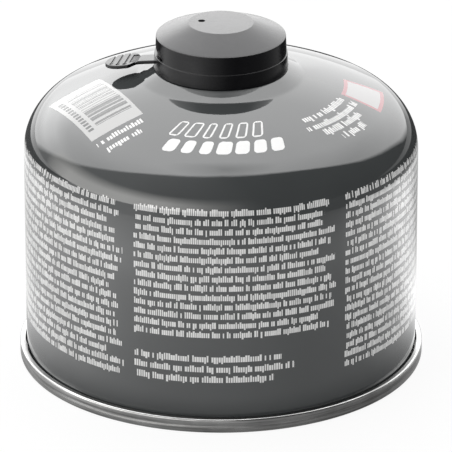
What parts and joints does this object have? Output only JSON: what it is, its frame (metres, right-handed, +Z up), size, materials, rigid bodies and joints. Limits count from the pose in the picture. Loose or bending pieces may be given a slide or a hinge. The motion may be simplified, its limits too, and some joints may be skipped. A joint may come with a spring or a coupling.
{
  "type": "fuel canister",
  "caption": "Squat round gas canister with a domed top, a self-sealing screw valve in a crimped cup, a domed base with a seam ring and a pull-off cap with a tear tab.",
  "frame": {"origin": "centre of the seam ring's resting face, on the canister's axis", "axes": "+Z up along the canister's axis, the front of the print faces -Y, the cap's tear tab points towards -X"},
  "size_m": [0.11, 0.11, 0.0954],
  "materials": {
    "painted_can": "gloss mid-grey lacquer over tinplate, with white print",
    "tinplate": "bright tinplate with faint draw lines",
    "black_plastic": "satin black moulded polyethylene with a fine grain",
    "seal_rubber": "matt black nitrile rubber",
    "natural_plastic": "off-white moulded acetal",
    "spring_steel": "drawn stainless spring wire"
  },
  "bodies": {
    "can": {"can_body": "painted_can", "base_end": "tinplate", "valve_cup": "tinplate", "cup_gasket": "seal_rubber", "valve_seal": "seal_rubber", "valve_housing": "natural_plastic", "valve_spring": "spring_steel"},
    "cap": {"cap": "black_plastic"},
    "stem": {"valve_stem": "natural_plastic"}
  },
  "joints": [
    {"name": "cap_pull", "type": "slide", "parent": "can", "child": "cap", "axis": [0, 0, 1], "range_m": [0, 0.024]},
    {"name": "valve_press", "type": "slide", "parent": "can", "child": "stem", "axis": [0, 0, -1], "range_m": [0, 0.0015], "stiffness_N_per_m": 4000, "deforming": ["valve_spring"]}
  ]
}
